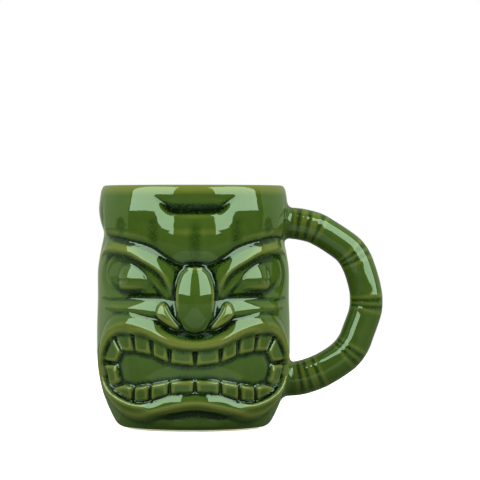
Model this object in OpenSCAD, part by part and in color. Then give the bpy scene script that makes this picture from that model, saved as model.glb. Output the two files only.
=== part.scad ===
// Tiki mug: a slip-cast stoneware cup with a carved face and a bamboo handle luted on with slip.
// Millimetres, +Z up. The origin is on the cup's axis, on the surface that the foot stands on.
// The face looks along -Y and the handle is on the +X side.

/* [Cup] */
// Height from the standing surface to the rim
cup_height = 120; // [110:1:130]
// Outer radius of the belly, around the mouth
belly_radius = 47.9; // [46:0.1:50]
// Outer radius of the rim
rim_radius = 45.4; // [44:0.1:47]
// Outer radius of the groove under the headband
neck_radius = 44.4; // [43.5:0.1:45.5]
// Inner radius of the straight part of the cavity
cavity_radius = 40; // [38:0.1:41]
// Thickness of the floor at the centre
floor_thickness = 6; // [4:0.5:9]

/* [Foot] */
// Outer radius of the bare foot ring
foot_radius = 33.5; // [30:0.5:34]
// Width of the ring that touches the table
foot_width = 4; // [3:0.5:6]
// Height of the foot ring
foot_height = 1.6; // [1:0.1:2.5]

/* [Face] */
// Height that the lips stand out of the wall
lip_relief = 2.8; // [1.5:0.1:3.5]
// Height that the teeth stand out of the wall
tooth_relief = 0.6; // [0:0.1:1.2]
// Depth of the mouth behind the teeth
mouth_depth = 2.2; // [1:0.1:2.8]
// Gap between two teeth
tooth_gap = 1; // [0.6:0.1:1.6]
// Largest radius of the nose
nose_radius = 9.4; // [8:0.1:10]
// Height that the eyelids stand out of the wall
lid_relief = 1.8; // [1:0.1:2.4]
// Height that the eyeballs stand out of the wall
eyeball_relief = 1.2; // [0.6:0.1:1.8]
// Height that the brow rolls and the cheek bars stand out of the wall
roll_relief = 1.4; // [0.8:0.1:2]
// Angle between two flutes of the headband
flute_angle = 24; // [20:1:26]

/* [Handle] */
// Radius of the bamboo handle at its upper end
handle_radius = 7.7; // [7:0.1:8.2]
// Radius of the bamboo handle at its lower end
handle_radius_low = 8.5; // [8:0.1:9]
// Height of the upper end above the table
handle_top = 101; // [99:0.5:102]
// Height of the lower end above the table
handle_bottom = 24; // [23:0.5:26]
// How far a bamboo node stands out of the cane
node_bulge = 0.6; // [0:0.1:1]

/* [Hidden] */
$fn = 96;
glaze_green = [0.24, 0.38, 0.12];
bare_clay = [0.82, 0.76, 0.66];
slip_joint_plane_top = 49;      // x of the plane where the upper slip joint meets the handle
slip_joint_plane_bottom = 50.5; // x of the same plane at the lower end
slip_flare = 2.6;               // how much wider the slip is at the wall than at the handle
front_reach = 62;               // how far the face's outlines are extruded towards -Y
curve_steps = 3;                // points on each stretch of an outline's curve
brow_radius = 48.6;             // radius of the headband where it hangs over the nose
flute_cutter = 9;               // radius of the round cutter that makes a flute
socket_depth = 1.2;             // depth of the ground around an eyeball
slit_depth = 0.4;               // depth of the slit between an eyeball's two halves
crease_depth = 1.4;             // depth of the crease over the chin
fold_depth = 0.2;               // depth of the fold in the middle of the headband
lid_width = 2;                  // width of an eyelid
lip_width = 2.6;                // width of the lip's inner slope
handle_steps = 4;               // rings on each stretch of the handle
handle_sides = 20;              // sides of the handle's cross-section

// ---- Curves ----

// A point of the Catmull-Rom curve between b and c, at t from 0 to 1.
function curve_point(a, b, c, d, t) =
    0.5 * (2 * b + (c - a) * t + (2 * a - 5 * b + 4 * c - d) * t * t + (3 * b - a - 3 * c + d) * t * t * t);

// A smooth closed outline through all the points.
function closed_curve(p, n = curve_steps) = [
    for (i = [0 : len(p) - 1], s = [0 : n - 1])
        curve_point(p[(i + len(p) - 1) % len(p)], p[i], p[(i + 1) % len(p)], p[(i + 2) % len(p)], s / n)
];

// A smooth open line through all the points.
function open_curve(p, n) = concat(
    [for (i = [0 : len(p) - 2], s = [0 : n - 1])
        curve_point(p[max(i - 1, 0)], p[i], p[i + 1], p[min(i + 2, len(p) - 1)], s / n)],
    [p[len(p) - 1]]
);

// A right half from top to bottom, followed by its mirror image from bottom to top.
// The first and last points of the half lie on the middle line.
function both_halves(half) = concat(half, [for (i = [len(half) - 2 : -1 : 1]) [-half[i].x, half[i].y]]);

// ---- Bodies of revolution that the relief is cut to ----

// The cup's outside, without the face, moved outwards by grow.
module wall_envelope(grow = 0) {
    rotate_extrude()
        polygon([
            [0, foot_height], [foot_radius + 1 + grow, foot_height], [38 + grow, 3.8], [41.2 + grow, 8.5],
            [44.2 + grow, 15], [belly_radius - 1 + grow, 25], [belly_radius + grow, 34],
            [belly_radius + grow, 52], [belly_radius - 0.5 + grow, 79], [belly_radius - 2.2 + grow, 89],
            [neck_radius + grow, 95.5], [rim_radius + 0.4 + grow, 100.5], [rim_radius + 1.3 + grow, 105],
            [rim_radius + 1.3 + grow, 110], [rim_radius + 0.6 + grow, 116], [rim_radius - 0.6 + grow, 119],
            [rim_radius - 2 + grow, cup_height], [0, cup_height]
        ]);
}

// The headband's outside: it keeps its width all the way down to the tip over the nose.
module band_envelope() {
    rotate_extrude()
        polygon([
            [0, 79], [brow_radius - 1.2, 79], [brow_radius, 82], [brow_radius - 0.4, 87], [rim_radius + 1.6, 97],
            [rim_radius + 1.5, 104], [rim_radius + 1.2, 110], [rim_radius - 2, 113], [0, 113]
        ]);
}

// The hollow that holds the drink.
module cavity() {
    floor_z = foot_height + floor_thickness;
    rotate_extrude()
        polygon([
            [0, floor_z], [29, floor_z], [33.5, floor_z + 1.6], [36.8, floor_z + 5],
            [38.8, floor_z + 10.5], [cavity_radius, floor_z + 18], [cavity_radius, cup_height - 3],
            [cavity_radius + 0.8, cup_height - 1], [cavity_radius + 2, cup_height + 0.01],
            [0, cup_height + 0.01]
        ]);
}

// ---- Helpers for the face ----

// An outline drawn as seen from the front, extruded through the front of the cup.
module from_front() {
    rotate([90, 0, 0]) linear_extrude(front_reach) children();
}

// The outline's part of the wall, standing out by relief.
module raised(relief) {
    intersection() {
        wall_envelope(relief);
        from_front() children();
    }
}

// What to cut away to sink the outline into the wall by depth.
module sunk(depth) {
    difference() {
        from_front() children();
        wall_envelope(-depth);
    }
}

// The same shape on the left and on the right.
module both_sides() {
    children();
    mirror([1, 0, 0]) children();
}

// A solid of revolution about a vertical axis, with a half-width at each height.
module turned(profile) {
    rotate_extrude() polygon(concat([[0, profile[0].y]], profile, [[0, profile[len(profile) - 1].y]]));
}

// ---- Mouth ----

// Lines between two teeth on the right half, from the top middle to the bottom middle:
// each has its end at the gum and its end at the open mouth.
tooth_lines = [
    [[0, 38.8], [0, 33]], [[12.5, 39.8], [12.5, 34.4]], [[21, 44.5], [21, 38.5]], [[30, 46.6], [30, 41.2]],
    [[38.2, 45], [36.2, 40]], [[43.4, 33], [39.1, 32.8]], [[41, 21.2], [37.2, 22.8]],
    [[30, 14.8], [30, 21.5]], [[22, 16.4], [22, 22.9]], [[12.5, 19], [12.5, 24.6]], [[0, 20], [0, 25.2]]
];

// The lip's crest, on the right half from the top middle to the bottom middle.
lip_crest = [
    [0, 42], [9, 43], [17, 46.2], [26, 50.2], [33, 52], [39.5, 50.4], [44, 45.5], [46.2, 36],
    [45.6, 24], [41.3, 15.9], [35, 10.6], [26, 8.9], [16, 11], [7, 13.4], [0, 14]
];

// Moves each point of a closed outline outwards by d, along the outline's own normal.
function swollen(p, d) = [
    for (i = [0 : len(p) - 1])
        let (along = p[(i + 1) % len(p)] - p[(i + len(p) - 1) % len(p)])
            p[i] + d * [-along.y, along.x] / norm(along)
];

// The lips: a rolled ring around the teeth.
module lips() {
    crest = closed_curve(both_halves(lip_crest));
    raised(lip_relief) polygon(swollen(crest, 0.9));
    raised(lip_relief - 1) polygon(swollen(crest, 1.6));
}

// The open mouth behind the lips, down to the flat ground that the teeth stand on.
module mouth_hollow() {
    crest = closed_curve(both_halves(lip_crest));
    sunk(mouth_depth) polygon(swollen(crest, -lip_width));
    sunk(-lip_relief / 2) polygon(swollen(crest, -lip_width / 2));
}

// One tooth between two lines, with a gap on each side and slightly blunt corners.
module tooth(a, b) {
    side = (b[0] - a[0]) / norm(b[0] - a[0]) * tooth_gap / 2;
    raised(tooth_relief)
        polygon([a[0] + side, b[0] - side, b[1] - side, a[1] + side]);
}

// All the teeth, on both sides.
module teeth() {
    both_sides()
        for (i = [0 : len(tooth_lines) - 2])
            tooth(tooth_lines[i], tooth_lines[i + 1]);
}

// ---- Nose, eyes and cheeks ----

// The long egg of the nose and its two wings.
module nose() {
    translate([0, -44.5, 0])
        turned([[0.1, 47.2], [4.3, 49], [6, 52.5], [7.4, 57.3], [8.8, 62], [nose_radius, 67.5], [8.9, 72.5],
                [7.2, 76.5], [3.8, 80.3]]);
    both_sides()
        translate([12.6, -43.6, 55.6]) rotate([0, 40, 0])
            turned([[0.1, -6.5], [2.6, -5.4], [4.1, -2.8], [4.5, 0], [4.1, 2.8], [2.6, 5.4], [0.1, 6.5]]);
}

// The lid's outline around the right eye, and the eyeball in it.
lid = [[14.5, 66.8], [17, 72.5], [20.8, 78], [27.5, 83], [34, 84.8], [40, 83.4], [42.8, 77], [42.2, 70],
       [38, 66], [30, 64.6], [21.5, 64.4]];
eyeball = [[20.5, 68.4], [23, 75.8], [28.6, 80.6], [35, 81], [39.4, 75], [38.6, 69.4], [33.5, 67.2],
           [26, 66.8]];

// The sunk ground around the lid and the eyeball.
module eye_socket() {
    sunk(socket_depth) polygon(swollen(closed_curve(lid), -lid_width));
}

// The raised lid, the eyeball and the slit between its upper and lower half.
module eye() {
    difference() {
        raised(lid_relief) polygon(closed_curve(lid));
        from_front() polygon(swollen(closed_curve(lid), -lid_width));
    }
    difference() {
        raised(eyeball_relief) polygon(closed_curve(eyeball));
        sunk(slit_depth) polygon([[19, 70.6], [31, 71.2], [41, 73.6], [41, 74.8], [31, 72.4], [19, 71.8]]);
    }
}

// The roll of the brow over the eye and down beside the nose.
module brow_roll() {
    raised(roll_relief)
        polygon([[46, 88], [40, 90.6], [32, 90.2], [24, 88.4], [16, 83.6], [11, 79.6], [9.8, 74], [10.6, 69],
                 [13, 73.4], [16.4, 79], [22, 83.8], [30, 86.8], [38, 87], [44, 84]]);
}

// The bar across the cheek, from the wing of the nose outwards.
module cheek_bar() {
    raised(roll_relief)
        polygon([[19.6, 54.9], [19.2, 60], [30, 60.4], [38, 60.6], [42.6, 59.4], [38, 58.6], [30, 56.9]]);
}

// ---- Headband ----

// The band's lower edge on the right half, from the tip over the nose to the side.
band_edge = [[0, 80.6], [8, 81.2], [14, 84.2], [22, 89], [32, 92], [39, 94.4], [44.5, 99]];

// The band's part in front, hanging down to the nose.
module headband() {
    edge = open_curve(band_edge, curve_steps);
    side = edge[len(edge) - 1].x;
    intersection() {
        band_envelope();
        from_front()
            polygon(concat(
                edge, [[side, 113.5], [-side, 113.5]],
                [for (i = [len(edge) - 1 : -1 : 1]) [-edge[i].x, edge[i].y]]
            ));
    }
}

// One row of upright flutes, sunk to the radius ground at mid_z and leaning outwards at the top.
module flute_row(ground, mid_z, length, lean) {
    for (k = [-3 : 3])
        rotate([0, 0, k * flute_angle])
            translate([0, -ground - flute_cutter, mid_z]) rotate([lean, 0, 0])
                cylinder(r = flute_cutter, h = length, center = true);
}

// Flutes all round the band, long in front and short behind, but not on the two lands at the sides.
module flutes() {
    flute_row(rim_radius + 0.9, 98, 40, 1);
    rotate([0, 0, 180]) flute_row(rim_radius + 0.4, 104, 24, 3);
}

// The crease under the bulge in the middle of the band.
module band_crease() {
    sunk(fold_depth)
        polygon([[-21, 114.6], [-12, 110], [0, 108.2], [12, 110], [21, 114.6], [12, 107.4], [0, 105.6],
                 [-12, 107.4]]);
}

// The crease under the lower lip, over the chin.
module chin_crease() {
    sunk(crease_depth)
        polygon([[-24, 6.4], [-12, 8.6], [0, 9.4], [12, 8.6], [24, 6.4], [12, 6.6], [0, 7.2], [-12, 6.6]]);
}

// ---- Parts ----

// The cast cup: wall, floor, rim and the carved face.
module cup() {
    color(glaze_green)
        difference() {
            union() {
                difference() {
                    union() {
                        wall_envelope();
                        headband();
                        lips();
                    }
                    mouth_hollow();
                    both_sides() eye_socket();
                    chin_crease();
                    band_crease();
                    flutes();
                }
                teeth();
                nose();
                both_sides() eye();
                both_sides() brow_roll();
                both_sides() cheek_bar();
            }
            cavity();
        }
}

// The bare ring under the cup, wiped free of glaze before firing.
module foot_ring() {
    color(bare_clay)
        difference() {
            cylinder(r = foot_radius, h = foot_height);
            translate([0, 0, -1]) cylinder(r = foot_radius - foot_width, h = foot_height + 2);
        }
}

// The middle line of the handle, as [x, z], from its upper end to its lower end.
handle_line = [
    [slip_joint_plane_top, handle_top], [60, 98.9], [69, 94.6], [77, 88.2], [82.4, 80.5], [85.2, 71],
    [85.8, 61], [83.8, 49.5], [78.8, 38.8], [71, 31.5], [61, 26.6], [slip_joint_plane_bottom, handle_bottom]
];
// Where the bamboo's nodes are, counted in points of the middle line, and how long each is.
handle_nodes = [1, 3.5, 6, 8.7, 10.4];
node_length = 0.28;

// The cane's radius at place t of the middle line.
function cane_radius(t) =
    handle_radius + (handle_radius_low - handle_radius) * t / (len(handle_line) - 1)
    + node_bulge * max([for (n = handle_nodes) exp(-pow((t - n) / node_length, 2))]);

// The bamboo handle: a round cane swept along its bent middle line.
module handle() {
    sides = handle_sides;
    line = open_curve(handle_line, handle_steps);
    rings = len(line);
    points = [
        for (i = [0 : rings - 1])
            let (
                ends = i == 0 || i == rings - 1,
                along = ends ? [i == 0 ? 1 : -1, 0] : line[i + 1] - line[i - 1],
                out = [-along.y, along.x] / norm(along),
                r = cane_radius(i / handle_steps)
            )
            for (k = [0 : sides - 1])
                let (a = 360 * k / sides)
                    [line[i].x + out.x * r * cos(a), r * sin(a), line[i].y + out.y * r * cos(a)]
    ];
    skin = [
        for (i = [0 : rings - 2], k = [0 : sides - 1])
            let (a = i * sides + k, b = i * sides + (k + 1) % sides)
                each [[a, b, b + sides], [a, b + sides, a + sides]]
    ];
    caps = [[for (k = [sides - 1 : -1 : 0]) k], [for (k = [0 : sides - 1]) (rings - 1) * sides + k]];
    color(glaze_green) polyhedron(points, concat(skin, caps));
}

// The slip that lutes one end of the handle to the wall, smoothed into a flared collar.
module slip_joint(z, plane, radius) {
    color(glaze_green)
        difference() {
            translate([0, 0, z]) rotate([0, 90, 0])
                turned([[radius + slip_flare, 40], [radius + slip_flare, plane - 4.6],
                        [radius + slip_flare * 0.4, plane - 2.6], [radius, plane]]);
            wall_envelope();
        }
}

module upper_handle_joint() {
    slip_joint(handle_top, slip_joint_plane_top, handle_radius);
}

module lower_handle_joint() {
    slip_joint(handle_bottom, slip_joint_plane_bottom, handle_radius_low);
}

cup();
foot_ring();
handle();
upper_handle_joint();
lower_handle_joint();
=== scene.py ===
"""Finished look of a glazed tiki mug, built around its CAD frame.

The cup is one surface: a turned profile whose wall is pushed in and out by the face's relief.
The handle is a bamboo cane swept along its bend, with a fillet of slip at each end.
Sizes are in millimetres and are turned into metres where a mesh is made.
"""
import logging
import math
from collections.abc import Callable
from dataclasses import dataclass
from enum import Enum

import bpy
import numpy as np
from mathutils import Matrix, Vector
from numpy.typing import NDArray


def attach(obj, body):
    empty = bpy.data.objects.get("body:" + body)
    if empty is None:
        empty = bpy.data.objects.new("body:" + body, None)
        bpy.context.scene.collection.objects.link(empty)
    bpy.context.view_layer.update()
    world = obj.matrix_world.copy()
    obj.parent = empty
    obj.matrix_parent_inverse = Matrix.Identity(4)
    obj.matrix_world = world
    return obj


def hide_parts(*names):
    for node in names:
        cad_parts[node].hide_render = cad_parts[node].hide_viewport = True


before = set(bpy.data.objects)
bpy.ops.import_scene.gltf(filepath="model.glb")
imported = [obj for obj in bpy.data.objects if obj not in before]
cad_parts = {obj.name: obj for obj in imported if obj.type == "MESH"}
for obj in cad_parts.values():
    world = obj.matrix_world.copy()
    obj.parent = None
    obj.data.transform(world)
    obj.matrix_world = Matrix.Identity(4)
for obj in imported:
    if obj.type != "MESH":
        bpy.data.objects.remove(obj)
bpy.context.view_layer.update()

Array = NDArray[np.float64]
Points = tuple[tuple[float, float], ...]
Reach = tuple[float, float]
Colour = tuple[float, float, float]
Socket = bpy.types.NodeSocket

MM = 0.001
BODY = "root"
THIN_ATTRIBUTE = "glaze_thin"
# Darkening of the glaze: where it pools in hollows, together with shade painted into the creases, under the
# band and round the nose and eyes.
POOL_AND_SHADE_ATTRIBUTE = "glaze_pool_and_shade"

# Distances round the cup are measured at this radius.
UNROLL_RADIUS = 47.4
# A height far below everything, for places that a feature doesn't reach.
NOTHING = -9.0
# Lengths that keep a division from being by nothing: between outlines, and along an edge.
TINY = 1e-3
VANISHING = 1e-12

log = logging.getLogger("tiki_mug")


class Slot(Enum):
    """Material slots of the record."""

    GLAZE = "green_glaze"
    CLAY = "bare_clay"


# ---- Curves and blends ----


def ease(x: Array, start: float | Array, end: float | Array) -> Array:
    """Smooth step: 0 at start, 1 at end, with level ends, as t squared times (3 minus 2 t).

    Args:
        x: Where to work it out.
        start: Where the step is 0. It may be larger than end.
        end: Where the step is 1.

    Returns:
        The step at each x.
    """
    t = np.clip((x - start) / (end - start), 0, 1)
    return t * t * (3 - 2 * t)


def hump(d: Array, half_width: float | Array) -> Array:
    """Soft hump: (1 minus (d / half_width) squared) squared, and 0 beyond half_width."""
    return np.clip(1 - (d / half_width) ** 2, 0, 1) ** 2


def quarter_round(share: Array) -> Array:
    """Quarter of an ellipse: the root of 1 minus (1 minus share) squared, 0 below 0 and 1 above 1."""
    return np.sqrt(np.clip(1 - (1 - np.clip(share, 0, 1)) ** 2, 0, 1))


def soft_max(a: Array, b: Array, blend: float) -> Array:
    """The larger of two heights, rounded where they cross: half of a + b + root((a - b)^2 + blend^2)."""
    return (a + b + np.sqrt((a - b) ** 2 + blend**2)) / 2


def smooth_line(points: Points | Array, closed: bool = False, steps: int = 6) -> Array:
    """Catmull-Rom curve through the points.

    Each stretch is half of (2b + (c - a)t + (2a - 5b + 4c - d)t^2 + (3b - a - 3c + d)t^3),
    where a, b, c and d are four points in a row.

    Args:
        points: The points that the curve goes through.
        closed: Whether the curve returns to its first point.
        steps: Points made on each stretch.

    Returns:
        The curve's points, one row each. A closed curve doesn't repeat its first point.
    """
    p = np.asarray(points, float)
    count = len(p)
    i = np.arange(count if closed else count - 1)
    if closed:
        a, b, c, d = (p[(i + k) % count] for k in (-1, 0, 1, 2))
    else:
        a, b, c, d = (p[np.clip(i + k, 0, count - 1)] for k in (-1, 0, 1, 2))
    t = (np.arange(steps) / steps)[None, :, None]
    a, b, c, d = (q[:, None, :] for q in (a, b, c, d))
    curve = (2 * b + (c - a) * t + (2 * a - 5 * b + 4 * c - d) * t**2 + (3 * b - a - 3 * c + d) * t**3) / 2
    curve = curve.reshape(-1, p.shape[1])
    return curve if closed else np.vstack([curve, p[-1]])


def length_gone(line: Array) -> Array:
    """Length gone along a line at each of its points, from 0 at the first."""
    return np.concatenate([[0.0], np.cumsum(np.linalg.norm(np.diff(line, axis=0), axis=1))])


def distance(x: Array, z: Array, line: Array, closed: bool = False) -> Array:
    """Distance from each place to a line of straight stretches.

    The nearest place on each stretch is its start plus the stretch times the clipped share
    that the place's projection falls at; the least of these distances is kept.

    Args:
        x: Places, across.
        z: Places, up.
        line: The line's points.
        closed: Whether the last point joins the first.

    Returns:
        The distance at each place.
    """
    ends = np.roll(line, -1, axis=0) if closed else line[1:]
    starts = line if closed else line[:-1]
    along = ends - starts
    length_squared = np.maximum((along**2).sum(1), VANISHING)
    px, pz = x[..., None] - starts[:, 0], z[..., None] - starts[:, 1]
    share = np.clip((px * along[:, 0] + pz * along[:, 1]) / length_squared, 0, 1)
    return np.sqrt(((px - share * along[:, 0]) ** 2 + (pz - share * along[:, 1]) ** 2).min(-1))


def inside(x: Array, z: Array, outline: Array) -> Array:
    """Whether each place is inside a closed outline, by counting the edges that a level ray crosses.

    Args:
        x: Places, across.
        z: Places, up.
        outline: The outline's points.

    Returns:
        True at each place where the count is odd.
    """
    ends = np.roll(outline, -1, axis=0)
    low, high = outline[:, 1], ends[:, 1]
    between = (z[..., None] >= low) != (z[..., None] >= high)
    rise = np.where(high == low, VANISHING, high - low)
    cross = outline[:, 0] + (z[..., None] - low) / rise * (ends[:, 0] - outline[:, 0])
    return (between & (x[..., None] < cross)).sum(-1) % 2 == 1


def depth_in(x: Array, z: Array, outline: Array) -> Array:
    """Distance to a closed outline, positive inside it and negative outside."""
    d = distance(x, z, outline, closed=True)
    return np.where(inside(x, z, outline), d, -d)


def blurred(field: Array, passes: int) -> Array:
    """A field on a grid, averaged with its neighbours again and again.

    Each pass takes a quarter of each neighbour and half of the place itself, round the cup and
    then up it.

    Args:
        field: Rows up the cup and columns that wrap round it.
        passes: How many times it is averaged.

    Returns:
        The softened field.
    """
    for _ in range(passes):
        field = (np.roll(field, 1, 1) + 2 * field + np.roll(field, -1, 1)) / 4
        padded = np.pad(field, ((1, 1), (0, 0)), mode="edge")
        field = (padded[:-2] + 2 * field + padded[2:]) / 4
    return field


# ---- Meshes ----


def new_piece(
    name: str, points: Array, faces: list[list[int]] | Array, attributes: dict[str, Array]
) -> bpy.types.Object:
    """Makes an object at the origin from points in millimetres.

    Args:
        name: The piece's name.
        points: One row of x, y and z for each vertex.
        faces: Vertex numbers of each face, facing outwards.
        attributes: A value for each vertex, by the attribute's name.

    Returns:
        The object, smooth shaded and linked to the scene.
    """
    mesh = bpy.data.meshes.new(name)
    mesh.from_pydata((points * MM).tolist(), [], faces if isinstance(faces, list) else faces.tolist())
    mesh.polygons.foreach_set("use_smooth", np.ones(len(mesh.polygons), bool))
    for key, values in attributes.items():
        data = mesh.attributes.new(key, "FLOAT", "POINT").data
        data.foreach_set("value", values.astype(np.float32).ravel())
    mesh.update()
    piece = bpy.data.objects.new(name, mesh)
    bpy.context.scene.collection.objects.link(piece)
    return piece


def grid_faces(rows: int, columns: int, closed_rows: bool = False) -> Array:
    """Quads of a grid whose columns wrap round, with rows numbered one after the other.

    Args:
        rows: Rows of vertices.
        columns: Vertices in each row.
        closed_rows: Whether the last row joins the first.

    Returns:
        Four vertex numbers for each quad.
    """
    r = np.arange(rows if closed_rows else rows - 1)[:, None]
    c = np.arange(columns)[None, :]
    here, up = r * columns, ((r + 1) % rows) * columns
    right = (c + 1) % columns
    return np.stack([here + c, here + right, up + right, up + c], -1).reshape(-1, 4)


def face_outwards(piece: bpy.types.Object) -> bpy.types.Object:
    """Turns all faces of a closed piece outwards.

    Each triangle adds its corners' triple product to six times the enclosed volume, and the faces
    are flipped if the sum is negative.

    Args:
        piece: A closed piece whose faces all point the same way.

    Returns:
        The same piece.
    """
    mesh = piece.data
    corners = np.zeros(len(mesh.vertices) * 3)
    mesh.vertices.foreach_get("co", corners)
    corners = corners.reshape(-1, 3)
    mesh.calc_loop_triangles()
    triangles = np.zeros(len(mesh.loop_triangles) * 3, np.int32)
    mesh.loop_triangles.foreach_get("vertices", triangles)
    a, b, c = corners[triangles.reshape(-1, 3)].transpose(1, 0, 2)
    if (np.cross(a, b) * c).sum() < 0:
        mesh.flip_normals()
    return piece


# ---- Finishes ----


class NodeTree:
    """A node tree of a material or the world, with one method for each kind of node that is used."""

    def __init__(self, owner: bpy.types.Material | bpy.types.World) -> None:
        """Starts an empty tree.

        Args:
            owner: The material or world that it belongs to.
        """
        owner.use_nodes = True
        self.owner = owner
        self.nodes = owner.node_tree.nodes
        self.links = owner.node_tree.links
        self.nodes.clear()

    @classmethod
    def of_material(cls, name: str) -> "NodeTree":
        """The empty tree of a new material."""
        return cls(bpy.data.materials.new(name))

    def add(self, kind: str) -> bpy.types.Node:
        """Adds a node of that kind."""
        return self.nodes.new(kind)

    def put(self, socket: Socket, value: Socket | float | tuple[float, ...]) -> None:
        """Feeds a socket.

        Args:
            socket: The input that is fed.
            value: Another node's output, which is linked to it, or a number or colour.
        """
        if isinstance(value, Socket):
            self.links.new(value, socket)
        else:
            socket.default_value = value

    def place(self) -> Socket:
        """The place on the piece, in the piece's own coordinates."""
        return self.add("ShaderNodeTexCoord").outputs["Object"]

    def attribute(self, name: str) -> Socket:
        """The number stored on the mesh.

        Args:
            name: The attribute's name.

        Returns:
            Its value at the place.
        """
        node = self.add("ShaderNodeAttribute")
        node.attribute_name = name
        return node.outputs["Fac"]

    def noise(self, place: Socket, scale: float, detail: float) -> Socket:
        """Smooth noise.

        Args:
            place: Where it is worked out.
            scale: Cells to the metre.
            detail: How many finer layers are added.

        Returns:
            A number from 0 to 1.
        """
        node = self.add("ShaderNodeTexNoise")
        for name, value in (("Vector", place), ("Scale", scale), ("Detail", detail)):
            self.put(node.inputs[name], value)
        return node.outputs["Fac"]

    def math(self, operation: str, *values: Socket | float) -> Socket:
        """An arithmetic node.

        Args:
            operation: Blender's name for it.
            values: What it works on, in order.

        Returns:
            The result.
        """
        node = self.add("ShaderNodeMath")
        node.operation = operation
        for socket, value in zip(node.inputs, values):
            self.put(socket, value)
        return node.outputs[0]

    def ramp(self, level: Socket, stops: tuple[tuple[float, Colour], ...]) -> Socket:
        """A colour that runs through the stops.

        Args:
            level: Where to read it, from 0 to 1.
            stops: Places from 0 to 1, each with its colour.

        Returns:
            The colour.
        """
        node = self.add("ShaderNodeValToRGB")
        elements = node.color_ramp.elements
        while len(elements) < len(stops):
            elements.new(0.5)
        for element, (where, colour) in zip(elements, stops):
            element.position = where
            element.color = (*colour, 1.0)
        self.put(node.inputs["Fac"], level)
        return node.outputs["Color"]

    def bump(self, height: Socket, distance_m: float) -> Socket:
        """A normal that is tilted by a height field.

        Args:
            height: The field, from 0 to 1.
            distance_m: Its full height in metres.

        Returns:
            The normal.
        """
        node = self.add("ShaderNodeBump")
        self.put(node.inputs["Height"], height)
        self.put(node.inputs["Distance"], distance_m)
        return node.outputs["Normal"]

    def shader(self, colour: Socket, roughness: Socket | float, normal: Socket | None) -> bpy.types.Node:
        """Ends the tree in a Principled shader.

        Args:
            colour: Its base colour.
            roughness: Its roughness.
            normal: Its normal, or None for the mesh's own.

        Returns:
            The shader's node.
        """
        node = self.add("ShaderNodeBsdfPrincipled")
        self.put(node.inputs["Base Color"], colour)
        self.put(node.inputs["Roughness"], roughness)
        if normal is not None:
            self.put(node.inputs["Normal"], normal)
        output = self.add("ShaderNodeOutputMaterial")
        self.links.new(node.outputs["BSDF"], output.inputs["Surface"])
        return node


@dataclass(frozen=True)
class Glaze:
    """Glossy translucent glaze: yellow where it is thin, nearly black where it pools and where shade is
    painted.
    """

    name: str = "green_glaze"
    gloss_roughness: float = 0.045
    pooled_roughness: float = 0.04
    index: float = 1.6
    specular_level: float = 0.8
    specular_tint: Colour = (0.67, 1.0, 0.66)
    # Near black: glaze where it pools, and the shade painted into creases and hollows.
    pooled_and_shaded: Colour = (0.0015, 0.005, 0.0008)
    thick: Colour = (0.014, 0.04, 0.004)
    clear: Colour = (0.055, 0.107, 0.0125)
    thin: Colour = (0.15, 0.19, 0.03)
    levels: tuple[float, float, float, float] = (0.1, 0.3, 0.5, 0.86)
    mottle_scale: float = 190.0
    mottle_detail: float = 3.0
    mottle_share: float = 0.22
    speckle_scale: float = 1500.0
    speckle_detail: float = 2.0
    speckle_share: float = 4.0
    ripple_scale: float = 260.0
    ripple_detail: float = 1.0
    ripple_height: float = 0.00002

    def material(self) -> bpy.types.Material:
        """Builds the node tree.

        The colour runs along a ramp by glaze thickness and painted shade: the thin attribute less
        the attribute of pooling glaze and painted shade, shifted a little by a soft noise, and by a
        fine one where the glaze pools or shade is painted. It is halved about the middle of the ramp.

        Returns:
            The material.
        """
        tree = NodeTree.of_material(self.name)
        place = tree.place()
        thin = tree.attribute(THIN_ATTRIBUTE)
        # The darkening attribute: pooling glaze together with painted shade.
        pool_and_shade = tree.attribute(POOL_AND_SHADE_ATTRIBUTE)
        mottle = tree.noise(place, self.mottle_scale, self.mottle_detail)
        speckle = tree.noise(place, self.speckle_scale, self.speckle_detail)
        shift = tree.math("MULTIPLY", tree.math("SUBTRACT", mottle, 0.5), self.mottle_share)
        grain = tree.math("MULTIPLY", pool_and_shade, self.speckle_share)
        grain = tree.math("MULTIPLY", tree.math("SUBTRACT", speckle, 0.5), grain)
        level = tree.math("SUBTRACT", thin, pool_and_shade)
        level = tree.math("ADD", tree.math("ADD", level, shift), grain)
        level = tree.math("MULTIPLY_ADD", level, 0.5, 0.5)
        colours = (self.pooled_and_shaded, self.thick, self.clear, self.thin)
        colour = tree.ramp(level, tuple(zip(self.levels, colours)))
        ripple = tree.noise(place, self.ripple_scale, self.ripple_detail)
        rough = tree.math("MULTIPLY_ADD", pool_and_shade, self.pooled_roughness, self.gloss_roughness)
        shader = tree.shader(colour, rough, tree.bump(ripple, self.ripple_height))
        shader.inputs["IOR"].default_value = self.index
        shader.inputs["Specular IOR Level"].default_value = self.specular_level
        shader.inputs["Specular Tint"].default_value = (*self.specular_tint, 1.0)
        return tree.owner


@dataclass(frozen=True)
class Clay:
    """Bare fired stoneware: matt, pale and gritty."""

    name: str = "bare_clay"
    dark: Colour = (0.42, 0.33, 0.22)
    pale: Colour = (0.6, 0.53, 0.4)
    levels: tuple[float, float] = (0.35, 0.6)
    roughness: float = 0.85
    grit_scale: float = 900.0
    grit_detail: float = 4.0
    grit_height: float = 0.00008
    cloud_scale: float = 100.0
    cloud_detail: float = 2.0

    def material(self) -> bpy.types.Material:
        """Builds the node tree: the mean of two noises mixes the colours, and the finer one is the grit.

        Returns:
            The material.
        """
        tree = NodeTree.of_material(self.name)
        place = tree.place()
        grit = tree.noise(place, self.grit_scale, self.grit_detail)
        cloud = tree.noise(place, self.cloud_scale, self.cloud_detail)
        level = tree.math("MULTIPLY_ADD", grit, 0.5, tree.math("MULTIPLY", cloud, 0.5))
        colour = tree.ramp(level, tuple(zip(self.levels, (self.dark, self.pale))))
        tree.shader(colour, self.roughness, tree.bump(grit, self.grit_height))
        return tree.owner


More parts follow.
